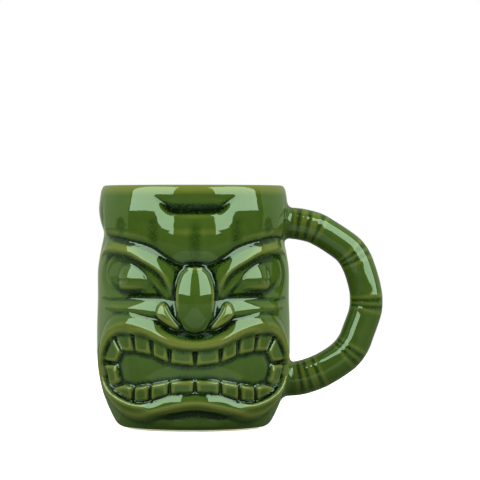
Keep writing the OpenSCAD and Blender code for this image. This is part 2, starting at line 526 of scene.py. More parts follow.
@dataclass(frozen=True)
class Plain:
    """An even finish for the studio's own surfaces."""

    name: str
    colour: Colour
    darker: float = 0.97
    levels: tuple[float, float] = (0.3, 0.7)
    cloud_scale: float = 3.0
    cloud_detail: float = 2.0
    roughness: float = 0.9
    glow: float = 0.0

    def material(self) -> bpy.types.Material:
        """Builds the node tree: the colour varies by a few parts in a hundred over the surface.

        Returns:
            The material.
        """
        tree = NodeTree.of_material(self.name)
        cloud = tree.noise(tree.place(), self.cloud_scale, self.cloud_detail)
        colours = (tuple(self.darker * c for c in self.colour), self.colour)
        shader = tree.shader(tree.ramp(cloud, tuple(zip(self.levels, colours))), self.roughness, None)
        shader.inputs["Emission Color"].default_value = (*self.colour, 1.0)
        shader.inputs["Emission Strength"].default_value = self.glow
        return tree.owner


# ---- The cup ----


@dataclass(frozen=True)
class CupProfile:
    """The turned shape of the cup, as radius and height."""

    outside: Points = (
        (34.8, 0.6), (37.4, 2.0), (39.3, 4.6), (41.6, 9.2), (43.4, 13.5), (44.9, 17.6), (46.1, 22.5),
        (47.1, 28.0), (47.7, 35.0), (47.8, 50.0), (47.4, 64.0), (47.4, 77.0), (46.6, 84.0), (45.5, 89.8),
        (44.6, 94.0), (44.4, 96.8), (45.0, 99.0), (45.9, 101.8), (46.6, 105.5), (46.8, 109.0),
        (46.4, 113.0), (45.8, 117.0), (45.3, 118.4),
    )
    rim: Points = ((45.3, 118.4), (44.6, 119.5), (43.4, 120.0), (42.2, 119.6), (41.3, 118.6))
    inside: Points = (
        (41.3, 118.6), (40.5, 116.0), (40.2, 108.0), (40.2, 60.0), (40.1, 27.0), (38.8, 18.4), (36.4, 12.6),
        (32.6, 9.2), (27.0, 7.9), (16.0, 7.7), (2.0, 7.6),
    )
    underside: Points = ((2.0, 2.3), (14.0, 2.3), (24.0, 2.2), (31.6, 1.4), (33.6, 0.7), (34.8, 0.6))

    def radius_at(self, z: Array) -> Array:
        """Radius of the plain wall at each height."""
        line = smooth_line(self.outside)
        return np.interp(z, line[:, 1], line[:, 0])


@dataclass(frozen=True)
class Feature:
    """Something carved on the cup's wall, and how its outlines are laid round the cup.

    An outline is seen from the front: across from the middle line, and up. It is for one half,
    and the face is the same on the other half. A place on the wall is across, the distance round
    the cup from the middle of the face, and z, the height above the table. A height of the relief
    is how far it stands out of the plain wall. A reach is where a smooth step starts and ends.
    """

    profile: CupProfile

    def wrapped(self, points: Points | Array, height: float) -> Array:
        """Lays an outline seen from the front round the cup.

        Across becomes the unroll radius times the angle whose sine is across over the wall's radius.

        Args:
            points: The outline, across and up.
            height: How far the outline's surface stands out of the wall.

        Returns:
            The outline, with across measured round the cup.
        """
        p = np.asarray(points, float)
        radius = self.profile.radius_at(p[:, 1]) + height
        return np.column_stack([UNROLL_RADIUS * np.arcsin(np.clip(p[:, 0] / radius, -1, 1)), p[:, 1]])

    def line(self, points: Points, height: float) -> Array:
        """A smooth curve through an outline that is laid round the cup."""
        return smooth_line(self.wrapped(points, height))

    def loop(self, points: Points, height: float) -> Array:
        """A smooth closed curve through an outline that is laid round the cup."""
        return smooth_line(self.wrapped(points, height), closed=True)

    def both_halves(self, points: Points, height: float, steps: int) -> Array:
        """A smooth closed curve through a half outline that is laid round the cup, and its mirror image."""
        half = self.wrapped(points, height)
        return smooth_line(np.vstack([half, half[-2:0:-1] * (-1, 1)]), closed=True, steps=steps)


@dataclass(frozen=True)
class Headband(Feature):
    """The fluted band round the top, which bulges over the brows in front and has a frown cut in it."""

    edge: Points = (
        (0.0, 80.8), (5.0, 80.8), (9.0, 81.4), (13.5, 84.0), (22.0, 89.2), (32.0, 91.9), (39.0, 93.6),
        (44.0, 95.4), (44.6, 96.2),
    )
    edge_stands_out: float = 1.0
    middle: Points = (
        (47.6, 80.0), (48.3, 86.0), (48.5, 91.0), (48.5, 96.0), (48.1, 100.5), (47.3, 104.0), (46.7, 107.0),
        (46.5, 110.0), (46.2, 114.0), (45.8, 117.0), (45.3, 118.4),
    )
    side: Points = (
        (47.4, 80.0), (47.2, 90.0), (47.1, 97.0), (47.1, 101.0), (47.1, 105.0), (46.9, 109.0), (46.3, 113.0),
        (45.8, 116.0), (45.3, 118.4),
    )
    middle_reach: Reach = (10.0, 24.0)
    rounding: tuple[float, float] = (9.0, 5.6)
    overhang: float = 3.2
    crease: Points = ((0.0, 106.9), (8.0, 107.2), (12.0, 108.0), (15.4, 110.4), (18.0, 112.6), (22.6, 115.4))
    furrow_top: float = 116.0
    furrow_depth: float = 1.7
    furrow_power: float = 1.2
    furrow_below: float = 2.4
    furrow_above: float = 0.8
    furrow_end_below: float = 3.0
    flute_angles: tuple[float, ...] = (0.0, 25.5, 50.0, 74.0, 106.0, 130.0, 155.0, 180.0)
    flute_depth: float = 0.42
    flute_half_width: float = 4.4
    flute_foot: Reach = (0.6, 6.0)
    front_flutes_end: float = 50.0
    front_flute_top: Reach = (95.0, 107.0)
    back_flute_top: Reach = (104.0, 116.0)
    back_flute_share: float = 1.3
    # Darkening under the band's edge and down the flutes: pooling glaze and painted shade in these creases.
    edge_pool_and_shade: float = 1.1
    edge_pool_and_shade_lift: float = 0.2
    edge_pool_and_shade_half_width: float = 2.1
    edge_pool_and_shade_reach: Reach = (52.0, 40.0)
    flute_pool_and_shade: float = 0.26
    thick_share: float = 0.75
    thick_half_width: float = 9.0

    def edge_height(self, across: Array) -> Array:
        """Height of the band's lower edge."""
        line = self.line(self.edge, self.edge_stands_out)
        return np.interp(across, line[:, 0], line[:, 1])

    def radius(self, across: Array, z: Array) -> Array:
        """Radius of the band: its own profile, rounded under at the lower edge, less what is cut in it.

        The profile goes from the middle's to the side's by a smooth step across. The rounding is a
        quarter of an ellipse.

        Args:
            across: Distance round the cup from the middle of the face.
            z: Height above the table.

        Returns:
            The radius at each place.
        """
        middle, side = smooth_line(self.middle), smooth_line(self.side)
        share = ease(across, *self.middle_reach)
        radius = np.interp(z, middle[:, 1], middle[:, 0]) * (1 - share)
        radius = radius + np.interp(z, side[:, 1], side[:, 0]) * share
        above = z - self.edge_height(across)
        rounding = self.rounding[0] * (1 - share) + self.rounding[1] * share
        under = 1 - quarter_round(above / rounding)
        return radius - self.overhang * under - self.furrow(across, z) - self.flutes(across, z)

    def furrow(self, across: Array, z: Array) -> Array:
        """Depth of the frown: a lens that deepens downwards and ends in a step at the crease.

        Args:
            across: Distance round the cup from the middle of the face.
            z: Height above the table.

        Returns:
            The depth at each place: powers of the share of the way to the lens's end and top.
        """
        line = self.line(self.crease, 0.0)
        crease = np.interp(across, line[:, 0], line[:, 1])
        share = np.clip(1 - (across / line[-1, 0]) ** 2, 0, 1)
        up = np.clip((z - crease) / (self.furrow_top - crease), 0, 1)
        foot = crease - self.furrow_below - self.furrow_end_below * (1 - share)
        step = ease(z, foot, crease + self.furrow_above)
        return self.furrow_depth * share**self.furrow_power * (1 - up) ** self.furrow_power * step

    def flutes(self, across: Array, z: Array) -> Array:
        """Depth of the upright flutes: soft grooves that die out at both ends, shorter at the back.

        Args:
            across: Distance round the cup from the middle of the face.
            z: Height above the table.

        Returns:
            The depth at each place: the deepest flute's hump across, times a smooth step at each end.
        """
        spacing = np.radians(np.asarray(self.flute_angles)) * UNROLL_RADIUS
        groove = hump(np.abs(across[..., None] - spacing), self.flute_half_width)
        edge = self.edge_height(across)
        low = ease(z, edge + self.flute_foot[0], edge + self.flute_foot[1])
        in_front = spacing < self.front_flutes_end
        start, end = (np.where(in_front, *ends) for ends in zip(self.front_flute_top, self.back_flute_top))
        top = 1 - ease(z[..., None], start, end)
        share = np.where(in_front, 1.0, self.back_flute_share)
        return self.flute_depth * (groove * top * share).max(-1) * low

    def pooled_and_shaded(self, across: Array, z: Array) -> Array:
        """Glaze that pools under the band's edge and down its flutes, and shade painted there.

        Args:
            across: Distance round the cup from the middle of the face.
            z: Height above the table.

        Returns:
            The share of pooling glaze and painted shade at each place.
        """
        over = z - self.edge_height(across) - self.edge_pool_and_shade_lift
        under = self.edge_pool_and_shade * hump(over, self.edge_pool_and_shade_half_width) * ease(across, *self.edge_pool_and_shade_reach)
        return under + self.flute_pool_and_shade * self.flutes(across, z) / self.flute_depth

    def thickened(self, across: Array, z: Array) -> Array:
        """Share by which the glaze lies thicker over the band's rounded lower edge."""
        over = z - self.edge_height(across) - self.thick_half_width
        return self.thick_share * hump(over, self.thick_half_width)


@dataclass(frozen=True)
class Brow(Feature):
    """The brow: highest at its lower ridge, falling back towards the headband."""

    ridge: Points = (
        (46.4, 84.0), (44.6, 87.0), (40.4, 88.4), (32.5, 87.2), (26.6, 84.2), (19.3, 79.8), (15.4, 76.2),
        (13.4, 72.4), (12.2, 67.6),
    )
    ridge_stands_out: float = 0.8
    least_ridge: float = 60.0
    crest: float = 1.0
    crest_fall: float = 1.2
    crest_reach: Reach = (76.0, 67.0)
    back_slope: float = 0.10
    back_bend: float = 0.045
    drop: float = 2.0
    drop_width: float = 2.2

    def height(self, across: Array, z: Array) -> Array:
        """Height of the brow: a slope and a parabola above the ridge, a smooth step down below it.

        Args:
            across: Distance round the cup from the middle of the face.
            z: Height above the table.

        Returns:
            The height at each place.
        """
        ridge = self.line(self.ridge, self.ridge_stands_out)
        away = distance(across, z, ridge)
        ridge_height = np.interp(across, ridge[::-1, 0], ridge[::-1, 1], left=self.least_ridge)
        over = np.where(z > ridge_height, away, -away)
        crest = self.crest - self.crest_fall * ease(z, *self.crest_reach)
        falls = crest - self.back_slope * over - self.back_bend * over**2
        drops = crest - self.drop * ease(-over, 0, self.drop_width)
        return np.where(over > 0, falls, drops)


@dataclass(frozen=True)
class Eye(Feature):
    """The eye: a lid like a low terrace round a sunk pocket, and the ball with its lower lid in it."""

    lid: Points = (
        (43.1, 75.0), (42.7, 79.4), (40.5, 82.9), (37.2, 84.3), (32.5, 83.5), (29.0, 81.8), (24.2, 77.8),
        (20.2, 73.0), (16.8, 68.3), (15.6, 65.6), (21.7, 65.3), (26.6, 65.4), (32.5, 65.7), (37.4, 67.0),
        (41.2, 70.6),
    )
    lid_stands_out: float = 0.2
    ground: float = -0.9
    ground_rise: float = 0.8
    ground_reach: Reach = (1.6, 6.0)
    ground_side_reach: Reach = (38.0, 50.0)
    pocket: float = -1.5
    lid_height: float = -0.75
    lid_fall: float = 0.6
    lid_fall_reach: Reach = (71.0, 67.0)
    lid_half_width: float = 1.8
    lid_step: Reach = (1.1, 0.2)
    under_line: float = 64.6
    under_line_depth: float = 0.35
    under_line_half_width: float = 1.2
    under_line_reach: Reach = (46.0, 36.0)
    ball_centre: tuple[float, float] = (33.4, 73.8)
    ball_height: float = 1.1
    ball_bend_out: float = 26.0
    ball_bend_in: float = 62.0
    ball_bend_up: float = 30.0
    ball_crease: float = 73.4
    ball_crease_depth: float = 0.5
    ball_crease_half_width: float = 1.0
    ball_crease_reach: Reach = (33.0, 38.0)
    ball_edge: float = 2.4
    ball_edge_reach: Reach = (2.3, 0.6)
    lower_lid_bottom: float = 70.4
    lower_lid_bend: float = 0.55
    blend: float = 0.2
    # Darkening along the pocket's lower edge, under the lower lid: pooling glaze and painted shade.
    pool_and_shade: float = 0.9
    pool_and_shade_place: float = 1.4
    pool_and_shade_half_width: float = 1.5
    pool_and_shade_reach: Reach = (73.0, 69.0)

    def height(self, across: Array, z: Array) -> Array:
        """Height of the eye.

        The terrace is the ground with a hump along the lid's outline. The ball is a height less
        a parabola each way, less the crease over its lower lid and less a step at the pocket's edge.

        Args:
            across: Distance round the cup from the middle of the face.
            z: Height above the table.

        Returns:
            The height at each place.
        """
        depth = depth_in(across, z, self.loop(self.lid, self.lid_stands_out))
        side = ease(across, *self.ground_side_reach)
        ground = self.ground + self.ground_rise * ease(-depth, *self.ground_reach) * side
        lid = self.lid_height - self.lid_fall * ease(z, *self.lid_fall_reach)
        under = self.under_line_depth * hump(z - self.under_line, self.under_line_half_width)
        terrace = ground + (lid - ground) * hump(depth, self.lid_half_width)
        terrace = terrace - under * ease(across, *self.under_line_reach)
        pocket = self.pocket + (lid - self.pocket) * ease(depth, *self.lid_step)
        middle = self.wrapped((self.ball_centre,), self.ball_height)[0]
        dx, dz = across - middle[0], z - middle[1]
        low = np.clip(self.lower_lid_bottom - z, 0, None)
        curve = np.where(dx > 0, 1 / self.ball_bend_out, 1 / self.ball_bend_in) * dx**2
        curve = curve + 1 / self.ball_bend_up * dz**2 + self.lower_lid_bend * low**2
        crease = self.ball_crease_depth * hump(z - self.ball_crease, self.ball_crease_half_width)
        crease = crease * ease(across, *self.ball_crease_reach)
        ball = self.ball_height - curve - crease - self.ball_edge * ease(depth, *self.ball_edge_reach)
        return np.where(depth > 0, soft_max(pocket, ball, self.blend), terrace)

    def pooled_and_shaded(self, across: Array, z: Array) -> Array:
        """Glaze that pools along the pocket's lower edge, under the lower lid, and shade painted there."""
        depth = depth_in(across, z, self.loop(self.lid, self.lid_stands_out))
        return self.pool_and_shade * hump(depth - self.pool_and_shade_place, self.pool_and_shade_half_width) * ease(z, *self.pool_and_shade_reach)


@dataclass(frozen=True)
class Cheek(Feature):
    """The cheek: one roll, whose long upper side rises from the eye and whose lower side is short."""

    top: float = 64.6
    crest: Points = ((8.0, 55.4), (14.0, 57.6), (20.0, 59.0), (31.0, 60.2), (44.0, 60.8))
    bottom: Points = ((8.0, 52.0), (14.0, 54.0), (20.0, 55.2), (31.0, 56.3), (38.0, 57.4), (44.0, 58.8))
    stands_out: float = 0.8
    roll_height: float = 0.9
    upper_fall: float = 2.4
    upper_power: float = 1.5
    lower_fall: float = 0.75
    lower_power: float = 2.2
    lip_side: float = 0.7
    nose_side_fall: float = 2.0
    nose_side_reach: Reach = (20.0, 12.0)
    step: float = 0.35
    step_reach: Reach = (0.5, 0.0)
    reach: Reach = (62.0, 42.0)
    beyond: float = -0.2

    def height(self, across: Array, z: Array) -> Array:
        """Height of the cheek: less a power of the share of the way up or down from the roll's crest.

        Args:
            across: Distance round the cup from the middle of the face.
            z: Height above the table.

        Returns:
            The height at each place.
        """
        crest_line, bottom_line = (self.line(points, self.stands_out) for points in (self.crest, self.bottom))
        crest = np.interp(across, crest_line[:, 0], crest_line[:, 1])
        bottom = np.interp(across, bottom_line[:, 0], bottom_line[:, 1])
        up = np.clip((z - crest) / (self.top - crest), 0, 1)
        down = np.clip((crest - z) / (crest - bottom), 0, 1)
        roll = self.roll_height - self.upper_fall * up**self.upper_power
        roll = roll - self.lower_fall * down**self.lower_power
        below = self.lip_side - self.nose_side_fall * ease(across, *self.nose_side_reach)
        below = below - self.step * ease(bottom - z, *self.step_reach)
        share = ease(across, *self.reach)
        return np.where(z > bottom, roll, below) * share + self.beyond * (1 - share)


@dataclass(frozen=True)
class Nose(Feature):
    """The long nose, its two wings and the groove under them."""

    half_widths: Points = (
        (0.0, 80.6), (3.6, 80.0), (5.6, 78.6), (7.4, 76.2), (8.7, 72.4), (9.2, 67.4), (8.9, 62.4),
        (8.3, 57.4), (7.2, 53.6), (5.4, 50.4), (3.2, 48.4), (0.0, 47.4),
    )
    crown: Points = (
        (-2.8, 81.6), (0.8, 80.6), (3.0, 78.2), (4.2, 75.2), (5.1, 72.2), (5.75, 69.2), (6.1, 66.0),
        (6.1, 61.5), (5.4, 57.0), (4.2, 53.5), (2.6, 50.5), (0.6, 48.6), (-1.6, 47.2),
    )
    crown_bend: float = 0.44
    least_width: float = 2.0
    wall_inset: float = 0.4
    wall_fall: float = 2.2
    wall_power: float = 1.5
    wing: Points = (
        (19.8, 58.6), (19.2, 61.6), (17.2, 63.2), (15.0, 62.8), (13.5, 60.2), (11.8, 57.4), (9.8, 54.8),
        (7.8, 52.4), (7.4, 50.6), (9.4, 50.2), (12.8, 51.6), (16.2, 53.6), (18.8, 56.0),
    )
    wing_axis: Points = ((15.3, 57.3), (9.4, 52.4))
    wing_stands_out: float = 2.0
    wing_height: float = 2.5
    wing_bend: float = 15.0
    wing_cut: float = 2.6
    wing_cut_width: float = 0.8
    groove: Points = ((19.6, 55.8), (14.6, 51.4), (10.6, 49.0), (6.7, 47.2), (2.4, 46.4), (0.0, 46.3))
    groove_top: float = 57.0
    groove_depth: tuple[float, float] = (0.3, 0.2)
    groove_half_width: tuple[float, float] = (1.6, 0.8)
    groove_reach: Reach = (22.0, 12.0)
    blend: float = 0.25
    # Darkening beside the nose and in the groove under it: pooling glaze, and painted shade that stands in
    # for much of the grooves' depth.
    side_pool_and_shade: float = 0.8
    side_pool_and_shade_place: float = 0.9
    side_pool_and_shade_half_width: float = 1.5
    groove_pool_and_shade: float = 0.7
    groove_pool_and_shade_half_width: float = 2.2
    thick_share: float = 0.6
    thick_side: Reach = (9.0, 6.0)
    thick_foot: Reach = (46.0, 52.0)
    thick_top: Reach = (81.0, 76.0)

    def width(self, z: Array, beyond: float) -> Array:
        """Half width of the nose at each height, or beyond above and below it."""
        line = smooth_line(self.half_widths)
        return np.interp(-z, -line[:, 1], line[:, 0], left=beyond, right=beyond)

    def under(self, across: Array, z: Array) -> Array:
        """Distance to the groove's line under the nose and its wings."""
        return distance(across, z, self.line(self.groove, 0.0))

    def set_in(self, across: Array, z: Array, face: Array) -> Array:
        """Sets the nose in the face.

        The nose is a crown line less a parabola across it, cut off steeply at its half width,
        and a groove runs under the wings and the tip, deeper and wider towards the middle.

        Args:
            across: Distance round the cup from the middle of the face.
            z: Height above the table.
            face: Height of the relief without the nose.

        Returns:
            The height with the nose.
        """
        width = self.width(z, 0.0)
        crown_line = smooth_line(self.crown)
        crown = np.interp(z, crown_line[::-1, 1], crown_line[::-1, 0], left=NOTHING, right=NOTHING)
        over = np.clip(across - width + self.wall_inset, 0, None)
        nose = crown - self.crown_bend * across**2 / np.maximum(width, self.least_width)
        nose = nose - self.wall_fall * over**self.wall_power
        deep = ease(across, *self.groove_reach)
        depth, half_width = (a + b * deep for a, b in (self.groove_depth, self.groove_half_width))
        face = face - depth * hump(self.under(across, z), half_width) * (z < self.groove_top)
        return soft_max(face, nose, self.blend)

    def wings(self, across: Array, z: Array) -> Array:
        """Height of a wing: a parabola over its axis, which makes its upper end a ball, cut off at its edge.

        Args:
            across: Distance round the cup from the middle of the face.
            z: Height above the table.

        Returns:
            The height at each place, far below the face outside the wing.
        """
        depth = depth_in(across, z, self.loop(self.wing, self.wing_stands_out))
        away = distance(across, z, self.wrapped(self.wing_axis, self.wing_stands_out))
        cut = np.clip(1 - depth / self.wing_cut_width, 0, 1) ** 2
        return np.where(depth > 0, self.wing_height - away**2 / self.wing_bend - self.wing_cut * cut, NOTHING)

    def pooled_and_shaded(self, across: Array, z: Array) -> Array:
        """Glaze that pools beside the nose and in the groove under it, and shade painted there.

        Args:
            across: Distance round the cup from the middle of the face.
            z: Height above the table.

        Returns:
            The pooled share at each place.
        """
        beside = hump(across - self.width(z, NOTHING) - self.side_pool_and_shade_place, self.side_pool_and_shade_half_width)
        groove = hump(self.under(across, z), self.groove_pool_and_shade_half_width) * (z < self.groove_top)
        return self.side_pool_and_shade * beside + self.groove_pool_and_shade * groove

    def thickened(self, across: Array, z: Array) -> Array:
        """Share by which the glaze lies thicker on the nose."""
        upright = ease(z, *self.thick_foot) * ease(z, *self.thick_top)
        return self.thick_share * ease(across, *self.thick_side) * upright


@dataclass(frozen=True)
class Mouth(Feature):
    """The open mouth: the lips, the gum groove with the teeth in it, and the crease over the chin."""

    lip_crest: Points = (
        (0.0, 42.0), (8.2, 43.1), (16.0, 45.8), (24.0, 49.4), (33.0, 52.0), (39.4, 50.8), (43.9, 46.4),
        (46.2, 38.5), (46.4, 30.0), (45.0, 22.6), (41.4, 15.9), (36.2, 11.0), (30.0, 8.8), (24.0, 9.1),
        (16.0, 11.1), (6.3, 13.5), (0.0, 14.1),
    )
    crest_steps: int = 3
    lip_height: float = 2.6
    lip_flat: float = 1.0
    outer_reach: float = 6.2
    outer_reach_low: float = 2.4
    outer_power: float = 1.35
    lower_lip: Reach = (31.0, 24.0)
    corner: Reach = (24.0, 34.0)
    upper_fall: float = 3.0
    upper_power: tuple[float, float] = (1.7, 2.5)
    upper_step: float = 1.5
    upper_step_reach: Reach = (0.75, 1.0)
    lower_fall: tuple[float, float] = (3.6, -1.6)
    lower_power: tuple[float, float] = (1.4, 3.6)
    lower_step: tuple[float, float] = (0.9, 1.6)
    lower_step_reach: Reach = (0.86, 1.0)
    gum_steps: int = 4
    gum_depth: float = 1.9
    mouth_depth: float = 2.0
    mouth_reach: Reach = (2.0, 6.0)
    tooth_lines: tuple[Points, ...] = (
        ((0.0, 38.8), (0.0, 33.0)), ((12.5, 39.8), (12.5, 34.4)), ((21.2, 44.0), (21.2, 38.2)),
        ((30.2, 46.7), (30.0, 39.8)), ((38.6, 45.2), (36.4, 39.8)), ((43.6, 33.2), (39.2, 33.0)),
        ((41.0, 21.2), (37.2, 22.8)), ((30.0, 14.8), (30.0, 21.3)), ((22.0, 15.6), (22.0, 22.7)),
        ((12.5, 19.0), (12.5, 24.6)), ((0.0, 20.0), (0.0, 25.2)),
    )
    tooth_height: float = 0.3
    tooth_gap: float = 0.45
    tooth_bite: float = 0.5
    tooth_under_gum: tuple[float, float] = (1.6, 0.3)
    tooth_lean: float = 0.12
    tooth_bevel: float = 1.5
    edge_sharpness: tuple[float, ...] = (3.0, 1.0, 2.0, 1.0)
    corner_sharpness: float = 2.6
    edge_limits: tuple[float, float] = (-8.0, 12.0)
    upper_teeth: float = 33.1
    leaning_teeth: float = 30.0
    blend: float = 0.12
    chin_crease: Points = ((0.0, 9.9), (11.2, 9.2), (19.0, 8.0), (25.0, 6.8))
    chin_depth: float = 1.35
    chin_above: tuple[float, float] = (1.4, 2.0)
    chin_below: tuple[float, float] = (4.5, 1.3)
    chin_reach: Reach = (30.0, 18.0)
    thin_share: float = 0.62
    thin_half_width: float = 2.6

    def crest(self) -> Array:
        """The closed line along the crest of both lips."""
        return self.both_halves(self.lip_crest, self.lip_height, self.crest_steps)

    def set_in(self, across: Array, z: Array, face: Array) -> Array:
        """Lays the lips, the gum groove, the teeth and the open mouth over the face.

        Outside the lips' crest the surface slopes to the face. Between the crest and the gum it is
        the lips. Inside the gum it is sunk, and the teeth stand in it.

        Args:
            across: Distance round the cup from the middle of the face.
            z: Height above the table.
            face: Height of the relief without the mouth.

        Returns:
            The height with the mouth.
        """
        gum = self.both_halves(tuple(line[0] for line in self.tooth_lines), 0.0, self.gum_steps)
        from_crest = depth_in(across, z, self.crest())
        from_gum = depth_in(across, z, gum)
        low = ease(z, *self.lower_lip)
        outer_reach = self.outer_reach - self.outer_reach_low * low
        slope = np.clip((-from_crest - self.lip_flat) / (outer_reach - self.lip_flat), 0, 1)
        slope = slope**self.outer_power
        outside = self.lip_height + (face - self.lip_height) * slope - self.chin(across, z)
        share = np.clip(from_crest / np.maximum(from_crest - from_gum, TINY), 0, 1)
        floor = -self.gum_depth - (self.mouth_depth - self.gum_depth) * ease(from_gum, *self.mouth_reach)
        within = np.where(from_gum > 0, floor, self.lips(across, share, low))
        surface = np.where(from_crest > 0, within, outside)
        return soft_max(surface, self.teeth(across, z), self.blend)

    def lips(self, across: Array, share: Array, low: Array) -> Array:
        """Height of the lips' inner slopes: a power of the share of the way gone, and a step at the gum.

        Args:
            across: Distance round the cup from the middle of the face.
            share: Share of the way gone from the lips' crest to the gum.
            low: 1 on the lower lip and 0 on the upper one.

        Returns:
            The height at each place.
        """
        corner = ease(across, *self.corner)
        fall, power, step = (a + b * corner for a, b in (self.lower_fall, self.lower_power, self.lower_step))
        fall_low = fall * share**power + step * ease(share, *self.lower_step_reach)
        fall_high = self.upper_fall * share ** (self.upper_power[0] + self.upper_power[1] * corner)
        fall_high = fall_high + self.upper_step * ease(share, *self.upper_step_reach)
        return self.lip_height - fall_high + (fall_high - fall_low) * low

    def teeth(self, across: Array, z: Array) -> Array:
        """Cushions between the tooth lines.

        Inside a tooth the depth is a soft minimum of the distances to its four edges, which
        rounds its corners; the tooth rises over it as a quarter of an ellipse.

        Args:
            across: Distance round the cup from the middle of the face.
            z: Height above the table.

        Returns:
            The height at each place, far below the mouth between the teeth.
        """
        result = np.full_like(across, NOTHING)
        for first, second in zip(self.tooth_lines[:-1], self.tooth_lines[1:]):
            corners = self.wrapped((first[0], second[0], second[1], first[1]), self.tooth_height)
            along = np.roll(corners, -1, axis=0) - corners
            normal = np.column_stack([along[:, 1], -along[:, 0]]) / np.linalg.norm(along, axis=1)[:, None]
            edge = (across[..., None] - corners[:, 0]) * normal[:, 0]
            edge = edge + (z[..., None] - corners[:, 1]) * normal[:, 1]
            is_upper = min(first[0][1], second[0][1]) > self.upper_teeth
            under_gum = self.tooth_under_gum[0] if is_upper else self.tooth_under_gum[1]
            edge = edge - np.array([-under_gum, self.tooth_gap, -self.tooth_bite, self.tooth_gap])
            lean = self.tooth_lean * (edge[..., 0] - edge[..., 2]) / 2
            edge = np.clip(edge * np.array(self.edge_sharpness), *self.edge_limits)
            depth = -np.log(np.exp(-self.corner_sharpness * edge).sum(-1)) / self.corner_sharpness
            rise = quarter_round(depth / self.tooth_bevel)
            tall = self.mouth_depth + self.tooth_height - lean * (z > self.leaning_teeth)
            result = np.where(depth > 0, np.maximum(result, tall * rise - self.mouth_depth), result)
        return result

    def chin(self, across: Array, z: Array) -> Array:
        """Depth of the crease over the chin: a power of the nearness to its line, wider below it.

        Args:
            across: Distance round the cup from the middle of the face.
            z: Height above the table.

        Returns:
            The depth at each place.
        """
        line = self.line(self.chin_crease, 0.0)
        over = z - np.interp(across, line[:, 0], line[:, 1])
        above = np.clip(1 - over / self.chin_above[0], 0, 1) ** self.chin_above[1]
        below = np.clip(1 + over / self.chin_below[0], 0, 1) ** self.chin_below[1]
        return self.chin_depth * np.where(over > 0, above, below) * ease(across, *self.chin_reach)

    def thinned(self, across: Array, z: Array) -> Array:
        """Share by which the glaze runs thinner along the lips' crest."""
        return self.thin_share * hump(distance(across, z, self.crest()), self.thin_half_width)


@dataclass(frozen=True)
class Face:
    """The whole face: its features put together and set into the plain wall, under the headband."""

    profile: CupProfile
    band: Headband
    brow: Brow
    eye: Eye
    cheek: Cheek
    nose: Nose
    mouth: Mouth
    ground_radius: float = 47.2
    ground_up: Reach = (66.0, 78.0)
    ground_side: Reach = (66.0, 46.0)
    fade_side: Reach = (74.0, 60.0)
    fade_foot: Reach = (2.0, 7.0)
    side_reach: Reach = (54.0, 72.0)
    contact: float = 1.4
    contact_reach: Reach = (50.0, 40.0)
    joint: float = 0.5
    brow_blend: float = 0.3
    wing_blend: float = 0.2

    @classmethod
    def on(cls, profile: CupProfile) -> "Face":
        """The face carved on a cup of that profile."""
        return cls(profile, *(part(profile) for part in (Headband, Brow, Eye, Cheek, Nose, Mouth)))

    def height(self, across: Array, z: Array) -> Array:
        """How far the surface stands out of the plain wall.

        Under the headband it is the face's own ground plus its features. The features under the
        band's edge keep the height that they have just below it. Over a smooth step at the edge
        it becomes the band, and round the sides it becomes the plain wall with the flutes.

        Args:
            across: Distance round the cup from the middle of the face, never negative.
            z: Height above the table.

        Returns:
            The height of the relief at each place.
        """
        wall = self.profile.radius_at(z)
        ground = (self.ground_radius - wall) * ease(z, *self.ground_up) * ease(across, *self.ground_side)
        edge = self.band.edge_height(across)
        contact = edge - self.contact * ease(across, *self.contact_reach)
        relief = self.features(across, np.where(across < self.contact_reach[0], np.minimum(z, contact), z))
        below = ground + relief * (ease(across, *self.fade_side) * ease(z, *self.fade_foot))
        above = self.band.radius(across, z) - wall
        carved = below + (above - below) * ease(z, edge - self.joint, edge + self.joint)
        share = ease(across, *self.side_reach)
        return carved * (1 - share) - self.band.flutes(across, z) * share

    def features(self, across: Array, z: Array) -> Array:
        """Relief of the face under the headband, as a height over the face's own ground.

        Args:
            across: Distance round the cup from the middle of the face.
            z: Height above the table.

        Returns:
            The height at each place: the highest of the features, rounded where they cross.
        """
        upper = soft_max(self.eye.height(across, z), self.brow.height(across, z), self.brow_blend)
        face = np.where(z > self.cheek.top, upper, self.cheek.height(across, z))
        face = soft_max(face, self.nose.wings(across, z), self.wing_blend)
        return self.mouth.set_in(across, z, self.nose.set_in(across, z, face))

    def pooled_and_shaded(self, across: Array, z: Array) -> Array:
        """Glaze that pools under the headband, down the flutes, round the nose and in the eyes, and shade
        painted in the same places.
        """
        return sum(part.pooled_and_shaded(across, z) for part in (self.band, self.nose, self.eye))

    def bared(self, across: Array, z: Array) -> Array:
        """Where the glaze runs thin, along the lips' crest, less where it lies thick, on nose and band."""
        thick = self.nose.thickened(across, z) + self.band.thickened(across, z)
        return self.mouth.thinned(across, z) - thick


